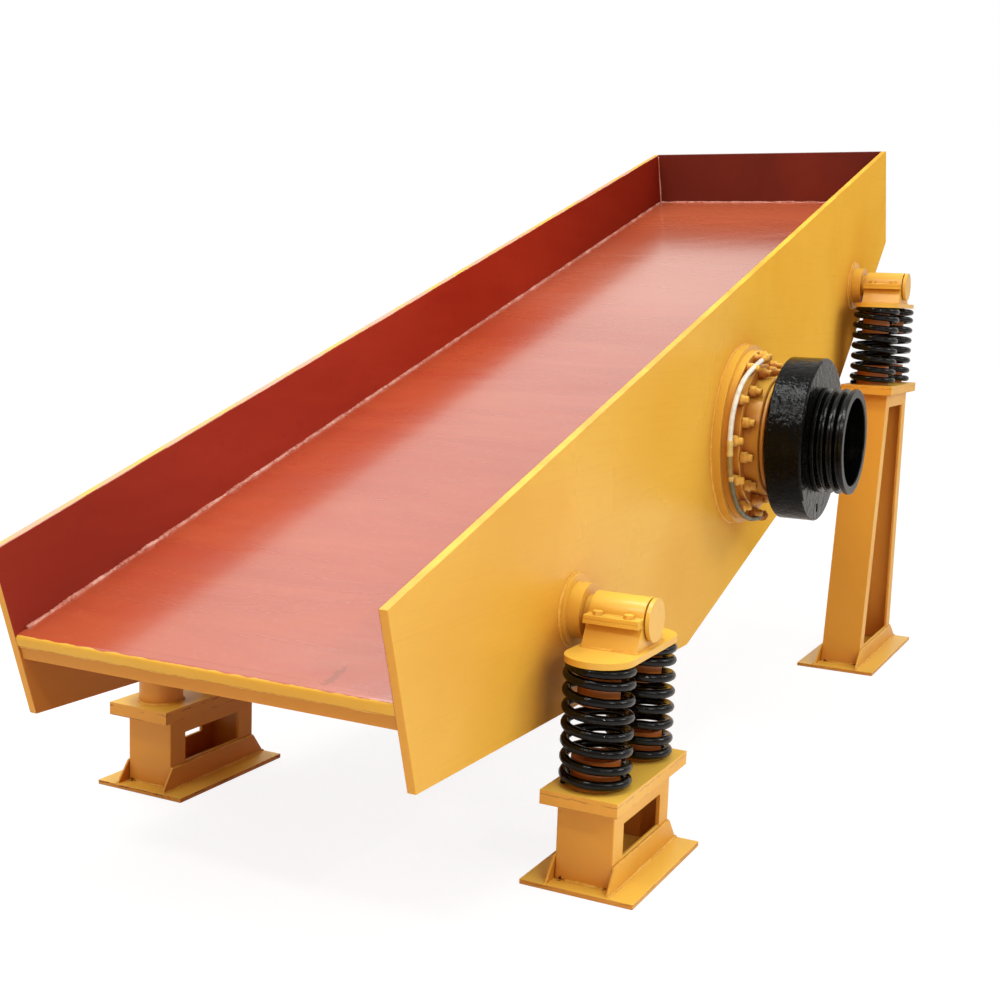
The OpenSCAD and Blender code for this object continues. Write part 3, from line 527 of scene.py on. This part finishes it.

# ---- the stands' own paint, with burnt edges, open weld corners and painted shade ----
stand_mats = {}
for end in ENDS:
    for side in SIDES:
        tag = end + "_" + side
        free = side == "free"
        lo, hi = corners("column_" + tag)
        cap_z = corners("cap_" + tag)[0].z
        spring_top = corners("springs_" + tag)[1].z
        holes = [((hi.x + 0.003, lo.y + 0.012, BASE_T + 0.004), 0.0062),
                 ((hi.x + 0.003, hi.y - 0.015, BASE_T + 0.003), 0.0042)]
        # flank: painted shade on the far stands' faces towards +Y, under the trough
        coat = dict(base=rgb(233, 175, 60), deep=rgb(224, 162, 48), rough=(0.3, 0.46), deeper=0.6,
                    flank=0.6 if free else 0.0)
        burnt = 0.9 if free else 0.4
        stand_mats["foot_" + tag] = enamel(
            "foot_enamel_" + tag, **coat, peel=0.16, shade=0.55, holes=holes,
            cut=(-0.001, BASE_T - 0.0005), cut_depth=burnt)
        # tubes: painted shade on the guide tubes inside the springs, above the caps and below the saddles
        stand_mats["cap_" + tag] = enamel(
            "cap_enamel_" + tag, **coat, peel=0.16, shade=0.55, tubes=None if free else (cap_z + CAP_T, 1.0),
            cut=(cap_z - 0.001, cap_z + CAP_T - 0.0005), cut_depth=burnt)
        stand_mats["saddle_" + tag] = enamel(
            "saddle_enamel_" + tag, YELLOW, YELLOW_DEEP, peel=0.4, deeper=0.0, shade=0.3,
            tubes=(spring_top, -1.0))
        stand_mats["column_" + tag] = enamel(
            "column_enamel_" + tag, **coat, peel=0.14, shade=0.6, holes=holes)

# ---- paint the frame's own nodes and break their edges ----
ROUND = {"bearing_cover": 0.0015, "bearing_housing": 0.0015, "mounting_ring": 0.002, "eccentric": 0.003,
         "pulley": 0.0012, "trunnion": 0.0025, "clamp": 0.0015, "saddle": 0.002, "cap": 0.0025,
         "column": 0.003, "foot": 0.0012, "side_plate": 0.0015, "discharge_lip": 0.002,
         "deck_crossbeams": 0.002, "housing_bolts": 0.0012, "cover_bolts": 0.001,
         "clamp_bolts": 0.001, "line_fittings": 0.002}


def soften(obj, width):
    """A small rounded edge all round, as paint and grinding leave it."""
    w = obj.modifiers.new("join", "WELD")
    w.merge_threshold = 0.00002
    b = obj.modifiers.new("edges", "BEVEL")
    b.width = width
    b.segments = 2
    b.limit_method = "ANGLE"
    b.angle_limit = math.radians(32)
    b.use_clamp_overlap = True
    n = obj.modifiers.new("shade", "WEIGHTED_NORMAL")
    n.keep_sharp = True
    n.weight = 60


PAINT = {"side_plate_drive": plate_drive, "side_plate_free": plate_free, "deck_plate": deck,
         "discharge_lip": lip_paint, "back_plate": lining, "eccentric": black_cast,
         "pulley": black_turned, "springs": black_spring, "shaft": steel, "bearing": steel,
         "grease_line": grease, "mounting_ring": ring_yellow, "bearing_housing": exciter_yellow,
         "bearing_cover": exciter_yellow, "housing_bolts": exciter_yellow,
         "cover_bolts": exciter_yellow, **stand_mats}

for name, obj in nodes.items():
    kind = name
    for tail in ("_drive", "_free", "_front", "_rear"):
        kind = kind.replace(tail, "")
    obj.data.materials.clear()
    obj.data.materials.append(PAINT.get(name) or PAINT.get(kind, yellow))
    if kind in ROUND:
        soften(obj, ROUND[kind])


# ---- pieces of the scene's own ----
Y = Vector((0, 1, 0))
Z = Vector((0, 0, 1))
DECK_N = Vector((SIN, 0, COS))
TAPER = 7


def mesh_piece(name, verts, faces, mat, body=None):
    me = bpy.data.meshes.new(name)
    me.from_pydata([tuple(v) for v in verts], [], faces)
    bm = bmesh.new()
    bm.from_mesh(me)
    bmesh.ops.recalc_face_normals(bm, faces=bm.faces)
    bm.to_mesh(me)
    bm.free()
    me.polygons.foreach_set("use_smooth", [True] * len(me.polygons))
    me.materials.append(mat)
    me.update()
    o = bpy.data.objects.new(name, me)
    bpy.context.collection.objects.link(o)
    if body:
        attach(o, body)
    return o


def sweep(verts, faces, path, radii, up, sides, closed=False):
    """Adds a round tube along path to verts and faces. up is never along the path."""
    first = len(verts)
    n = len(path)
    for i, p in enumerate(path):
        a = path[(i - 1) % n] if closed or i else p
        b = path[(i + 1) % n] if closed or i < n - 1 else p
        t = (b - a).normalized()
        v = t.cross(up).normalized()
        u = v.cross(t)
        for k in range(sides):
            w = 2 * math.pi * k / sides
            verts.append(p + radii[i] * (math.cos(w) * u + math.sin(w) * v))
    for i in range(n if closed else n - 1):
        j = (i + 1) % n
        for k in range(sides):
            l = (k + 1) % sides
            faces.append((first + i * sides + k, first + i * sides + l,
                          first + j * sides + l, first + j * sides + k))
    if not closed:
        faces.append(tuple(first + k for k in reversed(range(sides))))
        faces.append(tuple(first + (n - 1) * sides + k for k in range(sides)))


def coil_path(h, steps=40):
    """Middle of a left-handed wire: one closed turn, the active coils, one closed turn."""
    halves = 2 * round((h - WIRE_D / 2 - 2 * END_RISE) / COIL_PITCH)
    active = (h - WIRE_D / 2 - 2 * END_RISE) / halves
    r = (SPRING_OD - WIRE_D) / 2

    def height(k):
        closed = min(k, 2) + max(0.0, k - 2 - halves)
        return WIRE_D / 4 + closed * END_RISE / 2 + max(0.0, min(k - 2, halves)) * active

    total = halves + 4
    pts = []
    for i in range(total * steps // 2 + 1):
        k = 2 * i / steps
        # the mean over a little of the turn, so the rise starts softly
        z = sum(height(min(total, max(0, k + d))) for d in (-0.3, -0.15, 0, 0.15, 0.3)) / 5
        w = END_TURN + math.pi - math.pi * k
        pts.append(Vector((r * math.cos(w), r * math.sin(w), z)))
    return pts


for end in ENDS:
    for side in SIDES:
        node = "springs_%s_%s" % (end, side)
        lo, hi = corners(node)
        mid = (lo + hi) / 2
        verts, faces = [], []
        for k in (-1, 1):
            foot = Vector((mid.x + k * SPRING_GAP / 2, mid.y, lo.z))
            path = [foot + p for p in coil_path(hi.z - lo.z)]
            # the wire's ends taper over their last few points
            tips = [min(i, len(path) - 1 - i) for i in range(len(path))]
            radii = [WIRE_D / 2 * (0.55 + 0.45 * min(1.0, k / TAPER)) for k in tips]
            sweep(verts, faces, path, radii, Z, 14)
        for v in verts:  # ground flat at both ends
            v.z = min(hi.z, max(lo.z, v.z))
        coil = mesh_piece("coils_%s_%s" % (end, side), verts, faces, black_spring)
        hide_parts(node)
        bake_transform(coil)


def bead_path(points, step, closed):
    """The points with more between them, a step apart."""
    out = []
    pts = list(points) + ([points[0]] if closed else [])
    for a, b in zip(pts, pts[1:]):
        n = max(1, int((b - a).length / step))
        out += [a.lerp(b, i / n) for i in range(n)]
    if not closed:
        out.append(pts[-1])
    return out


def bead(store, points, r, up, step=0.006, closed=False, wander=0.18):
    """A weld bead: a tube whose size and place waver from ripple to ripple."""
    path = bead_path(points, step, closed)
    seed = Vector((rng.uniform(0, 50), 0, 0))
    radii = []
    for i, p in enumerate(path):
        s = noise.noise(seed + Vector((i * step * 14, 0, 0)))
        ripple = 0.10 * math.sin(i * 2.2 + 3 * s)
        radii.append(r * (0.92 + 0.35 * s + ripple))
        path[i] = p + Vector(up) * (r * wander * noise.noise(seed + Vector((i * step * 22, 7, 0))))
    verts, faces = store
    sweep(verts, faces, path, radii, Vector(up), 7, closed)


def circle(centre, r, other, n=72):
    """Points round a circle that starts on X and turns towards the other axis."""
    turns = [2 * math.pi * i / n for i in range(n)]
    return [centre + Vector((r * math.cos(a), 0, 0)) + other * (r * math.sin(a)) for a in turns]


# Each store holds the verts and faces of one piece. sg is the way from a plate to the middle or out
lining_welds = ([], [])
for y, sg in ((IN_D, -1), (IN_F, 1)):
    bead(lining_welds, [trough(s, WALL_H, y + sg * 0.002) for s in (0.034, 3.985)],
         0.0066, (DECK_N + Y * sg).normalized(), wander=0.7)
    bead(lining_welds, [trough(3.987, h, y + sg * 0.001) for h in (0.006, 0.203)], 0.0036, Y * sg)
bead(lining_welds, [trough(3.986, WALL_H, y) for y in (IN_F + 0.004, IN_D - 0.004)],
     0.0048, DECK_N, wander=0.6)
mesh_piece("welds_lining", *lining_welds, weld_lining, "trough")

trough_welds = ([], [])
for side, face, sg in (("drive", OUT_D, 1), ("free", OUT_F, -1)):
    ring = Vector((HUB.x, face, HUB.z))
    bead(trough_welds, circle(ring, RING_R + 0.0005, Z), 0.0042, Y, closed=True)
    inner = Vector((HUB.x, IN_D if sg > 0 else IN_F, HUB.z))
    bead(trough_welds, circle(inner, TUBE_R + 0.001, Z), 0.006, Y, closed=True)
    for end in ENDS:
        lo, hi = corners("trunnion_%s_%s" % (end, side))
        axis = (lo + hi) / 2
        pad = Vector((axis.x, face, axis.z))
        bead(trough_welds, circle(pad, PAD_R + 0.001, Z), 0.0048, Y, closed=True)
        lo, hi = corners("saddle_%s_%s" % (end, side))
        top = axis.z - AXIS_H + SEAT_T
        yc = (lo.y + hi.y) / 2
        y0, y1 = yc - CLAMP_L / 2, yc + CLAMP_L / 2
        x0, x1 = axis.x - SADDLE_FOOT, axis.x + SADDLE_FOOT
        rim = [Vector((x, y, top)) for x, y in ((x0, y0), (x1, y0), (x1, y1), (x0, y1))]
        bead(trough_welds, rim, 0.0042, Z, closed=True)
for s in BEAM_S:
    for k in (-1, 1):
        bead(trough_welds, [trough(s + k * BEAM_W / 2, WALL_H + DECK_T, y) for y in (IN_F, IN_D)],
             0.004, DECK_N, step=0.010)
bead(trough_welds, [trough(LIP_SETBACK, WALL_H + NOSE_H, y) for y in (IN_F, IN_D)],
     0.0038, DECK_N, step=0.008)
for y in (IN_D, IN_F):
    bead(trough_welds, [trough(0.004, WALL_H + 0.006, y), trough(0.012, WALL_H + 0.055, y)], 0.004, Y)
mesh_piece("welds_trough", *trough_welds, weld_yellow, "trough")

stand_welds = ([], [])
for end in ENDS:
    for side in SIDES:
        tag = end + "_" + side
        lo, hi = corners("column_" + tag)
        foot_lo, foot_hi = corners("foot_" + tag)
        cap_lo, cap_hi = corners("cap_" + tag)
        z = BASE_T
        for x in (lo.x, hi.x):
            bead(stand_welds, [Vector((x, lo.y + 0.024, z)), Vector((x, hi.y - 0.02, z))], 0.0056, Z)
        for y, sg in ((lo.y, -1), (hi.y, 1)):
            out = y + sg * (GUSSET_T + 0.002)
            bead(stand_welds, [Vector((foot_lo.x + GUSSET_INSET, out, z)),
                               Vector((foot_hi.x - GUSSET_INSET, out, z))], 0.0046, Z)
            top = z + GUSSET_H
            slant = (hi.x - lo.x - COLUMN_L) * GUSSET_H / (hi.z - z)
            bead(stand_welds, [Vector((lo.x, y + sg * 0.002, top)),
                               Vector((hi.x - slant, y + sg * 0.002, top))], 0.0036, Z)
            bead(stand_welds, [Vector((lo.x, y, hi.z)), Vector((lo.x + COLUMN_L, y, hi.z))], 0.004, Z)
        for x in (lo.x, lo.x + COLUMN_L):
            bead(stand_welds, [Vector((x, lo.y, hi.z)), Vector((x, hi.y, hi.z))], 0.004, Z)
        mid = (cap_lo + cap_hi) / 2
        if side == "free":
            for k in (-1, 1):
                c = Vector((mid.x + k * SPRING_GAP / 2, mid.y, cap_lo.z + CAP_T))
                bead(stand_welds, circle(c, LOWER_GUIDE_D / 2 + 0.001, Y), 0.005, Z, closed=True)
mesh_piece("welds_stands", *stand_welds, weld_yellow, "stands")

# Studs and nuts under a thick, runny coat: rows of (height above the foot, radius)
STUD_ROWS = ((0.000, 0.0178), (0.004, 0.0172), (0.007, 0.0166), (0.016, 0.0168), (0.019, 0.0150),
             (0.021, 0.0112), (0.030, 0.0108), (0.0345, 0.0100), (0.0365, 0.0070), (0.0372, 0.0030))
STUD_SIDES = 14


def stud(store, axis, sign, foot):
    """One lumpy stud and nut that stands out of the plate at axis, sign being its way along Y."""
    verts, faces = store
    seed = Vector((rng.uniform(0, 90), 0, 0))
    first = len(verts)
    for at, r in STUD_ROWS:
        for k in range(STUD_SIDES):
            a = 2 * math.pi * k / STUD_SIDES
            d = Vector((math.cos(a), 0, math.sin(a)))
            n = noise.noise(seed + 2.2 * d + Vector((0, at * 90, 0)))
            p = axis + d * (r * (1 + 0.16 * n))
            p.y = axis.y + sign * (foot + at + 0.0015 * n)
            verts.append(p)
    rings = [[first + row * STUD_SIDES + k for k in range(STUD_SIDES)] for row in range(len(STUD_ROWS))]
    quads = [[low[k], low[(k + 1) % STUD_SIDES], high[(k + 1) % STUD_SIDES], high[k]]
             for low, high in zip(rings, rings[1:]) for k in range(STUD_SIDES)]
    for loop in quads + [rings[-1]]:
        faces.append(tuple(reversed(loop) if sign > 0 else loop))
    faces.append(tuple(rings[0] if sign > 0 else reversed(rings[0])))


studs = ([], [])
for sign, face in ((1, OUT_D), (-1, OUT_F)):
    for circle_no, (bolt_r, foot) in enumerate(BOLT_CIRCLES):
        for i in range(BOLTS):
            w = 2 * math.pi * (i + circle_no / 2) / BOLTS
            axis = Vector((HUB.x + bolt_r * math.cos(w), face, HUB.z - bolt_r * math.sin(w)))
            stud(studs, axis, sign, foot)
mesh_piece("bolt_paint", *studs, exciter_yellow, "trough")

# The grease pipe, bent in a little at both ends: degrees about the hub, radius, reach off the plate
LINE_SHAPE = ((PIPE_FROM, 0.262, 0.072), (-90, 0.256, 0.068), (-72, 0.257, 0.063), (-50, 0.266, 0.060),
              (-20, LINE_R, 0.056), (17, LINE_R, 0.055), (35, 0.265, 0.060), (47, 0.254, 0.064),
              (60, 0.243, 0.072), (PIPE_TO, 0.239, 0.081))


def line_at(turn):
    """The point of the pipe at so many degrees about the hub."""
    for (a, ra, ya), (b, rb, yb) in zip(LINE_SHAPE, LINE_SHAPE[1:]):
        if turn <= b:
            k = (turn - a) / (b - a)
            r, out = ra + (rb - ra) * k, ya + (yb - ya) * k
            w = math.radians(turn)
            return Vector((HUB.x + r * math.cos(w), OUT_D + out, HUB.z + r * math.sin(w)))


def line_run(a, b, n):
    """Points along the pipe, each the mean of a few neighbours so the bends are soft."""
    near = (-5, -2.5, 0, 2.5, 5)
    turns = [a + (b - a) * i / n for i in range(n + 1)]
    return [sum((line_at(max(PIPE_FROM, min(PIPE_TO, w + d))) for d in near), Vector()) / 5 for w in turns]


pipe = ([], [])
path = line_run(PIPE_FROM, PIPE_TO, 110)
sweep(*pipe, path, [LINE_D / 2] * len(path), Y, 16)
tube = mesh_piece("grease_pipe", *pipe, grease, "trough")
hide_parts("grease_line")

# A pale sleeve joins the two pipes, and lumpy painted elbows end them
sleeve = ([], [])
COUPLING = (0.0082, 0.0108, 0.0112, 0.0112, 0.0100, 0.0098, 0.0098, 0.0098, 0.0098, 0.0100, 0.0112,
            0.0112, 0.0108, 0.0100, 0.0082)
CLIP = (0.0078, 0.0092, 0.0096, 0.0098, 0.0096, 0.0092, 0.0078)
for start, stop, radii, sides in ((-9.5, 0.5, COUPLING, 16), (-26.0, -22.5, CLIP, 14)):
    sweep(*sleeve, line_run(start, stop, len(radii) - 1), radii, Y, sides)
mesh_piece("line_sleeve", *sleeve, sleeve_paint, "trough")
for name, turn, way, paint in (("upper", PIPE_TO, 1, exciter_yellow),
                                ("lower", PIPE_FROM + 1, -1, rusty)):
    elbow = ([], [])
    c = line_run(turn, turn, 1)[0]
    w = math.radians(turn)
    d = Vector((-math.sin(w), 0, math.cos(w))) * way
    path = [c + d * k for k in (-0.020, -0.017, -0.004, -0.003, 0.010, 0.014)]
    sweep(*elbow, path, [0.0085, 0.0120, 0.0125, 0.0150, 0.0152, 0.0110], Y, 6)
    foot_y = OUT_D + 0.030
    path = [Vector((c.x, foot_y + (c.y + 0.012 - foot_y) * k, c.z)) + d * 0.004
            for k in (0, 0.1, 0.35, 0.4, 0.9, 1.0)]
    sweep(*elbow, path, [0.0150, 0.0155, 0.0150, 0.0115, 0.0120, 0.0080], DECK_N, 8)
    for v in elbow[0]:
        v += noise.noise_vector(v * 70) * 0.0016
    fit = mesh_piece("line_elbow_" + name, *elbow, paint, "trough")
    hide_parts("line_fittings")

# ---- stage, light and camera ----
bpy.ops.mesh.primitive_plane_add(size=60, location=(0, 0, -0.0005))
floor = bpy.context.object
floor.name = "floor"
fm, fnt, fb = new_material("floor_pale")
fpos = position(fnt)
seen = add(fnt, "ShaderNodeLightPath")
grey = mix(fnt, noise_tex(fnt, fpos, 0.6, 2.0), (0.80, 0.80, 0.80), (0.84, 0.84, 0.835))
link(fnt, mix(fnt, seen.outputs["Is Camera Ray"], grey, (0.20, 0.20, 0.20)), fb.inputs["Base Color"])
fb.inputs["Roughness"].default_value = 0.9
fb.inputs["Specular IOR Level"].default_value = 0.1
fb.inputs["Emission Color"].default_value = (1.0, 1.0, 1.0, 1.0)
link(fnt, maths(fnt, "MULTIPLY", seen.outputs["Is Camera Ray"], 0.86), fb.inputs["Emission Strength"])
floor.data.materials.append(fm)

# A soft studio dome: bright above and beyond the machine, dim behind the camera. Only camera rays
# see the white background; gloss sees the dome, which keeps the black parts dark
world = bpy.data.worlds.new("studio")
bpy.context.scene.world = world
world.use_nodes = True
wt = world.node_tree
wt.nodes.clear()
wx, wy, wz = split(wt, add(wt, "ShaderNodeTexCoord").outputs["Generated"])
lean = maths(wt, "ADD", maths(wt, "MULTIPLY", wx, -0.55), maths(wt, "MULTIPLY", wy, -0.10))
lean = maths(wt, "ADD", lean, maths(wt, "MULTIPLY", wz, 0.75))
lean = remap(wt, lean, -0.35, 0.95, 0.0, 1.0, True)
dome = add(wt, "ShaderNodeBackground")
link(wt, mix(wt, lean, (1.0, 0.86, 0.72), (1.0, 0.985, 0.95)), dome.inputs["Color"])
link(wt, remap(wt, lean, 0.0, 1.0, 0.46, 0.90), dome.inputs["Strength"])
white = add(wt, "ShaderNodeBackground")
white.inputs["Color"].default_value = (1.0, 1.0, 1.0, 1.0)
pick = add(wt, "ShaderNodeMixShader")
link(wt, add(wt, "ShaderNodeLightPath").outputs["Is Camera Ray"], pick.inputs[0])
link(wt, dome.outputs[0], pick.inputs[1])
link(wt, white.outputs[0], pick.inputs[2])
wout = add(wt, "ShaderNodeOutputWorld")
link(wt, pick.outputs[0], wout.inputs[0])


def area(name, loc, target, size, power):
    d = bpy.data.lights.new(name, "AREA")
    d.shape = "RECTANGLE"
    d.size, d.size_y = size
    d.energy = power
    o = bpy.data.objects.new(name, d)
    bpy.context.collection.objects.link(o)
    o.location = loc
    o.rotation_euler = (Vector(target) - Vector(loc)).to_track_quat("-Z", "Y").to_euler()
    return o


area("key", (-2.6, 7.0, 4.4), (0, 0.5, 0.8), (3.0, 2.0), 101)
area("side", (2.4, 5.0, 3.6), (0.8, 0.6, 0.6), (1.6, 1.2), 38)
area("glint", (3.5, 3.5, 3.1), (1.2, 0.62, 0.45), (0.16, 0.16), 26)

# Two long lamps over the trough. Their gloss comes from twins set aside, which brings it onto the
# rim of the disc; from straight above the deck still mirrors the twins as two white bands
SHINE_Y = -1.05
for name, loc, target, size, power in (
        ("roof", (1.3, -0.35, 5.8), (0.4, 0.2, 0.8), (5.0, 0.5), 150),
        ("front_high", (4.0, -0.45, 4.35), tuple(HUB), (2.0, 0.5), 56)):
    area(name, loc, target, size, power).visible_glossy = False
    shine_at = (loc[0], SHINE_Y, loc[2])
    area(name + "_shine", shine_at, target, size, power).visible_diffuse = False

# The photo's camera
cam_data = bpy.data.cameras.new("camera")
cam = bpy.data.objects.new("camera", cam_data)
bpy.context.collection.objects.link(cam)
bpy.context.scene.camera = cam
yaw, pitch, roll = (math.radians(a) for a in (26.723, 8.043, 1.956))
fwd = Vector((-math.cos(pitch) * math.cos(yaw), -math.cos(pitch) * math.sin(yaw), -math.sin(pitch)))
right = Vector((-math.sin(yaw), math.cos(yaw), 0.0))
up = right.cross(fwd)
right, up = (math.cos(roll) * right + math.sin(roll) * up,
             -math.sin(roll) * right + math.cos(roll) * up)
rot = Matrix((right, up, -fwd)).transposed().to_4x4()
cam.matrix_world = Matrix.Translation((4.1386, 1.7717, 1.3186)) @ rot
cam_data.sensor_width = 36.0
cam_data.lens = 51.412
cam_data.clip_start = 0.05
cam_data.clip_end = 100.0
bpy.context.scene.view_settings.view_transform = "Standard"
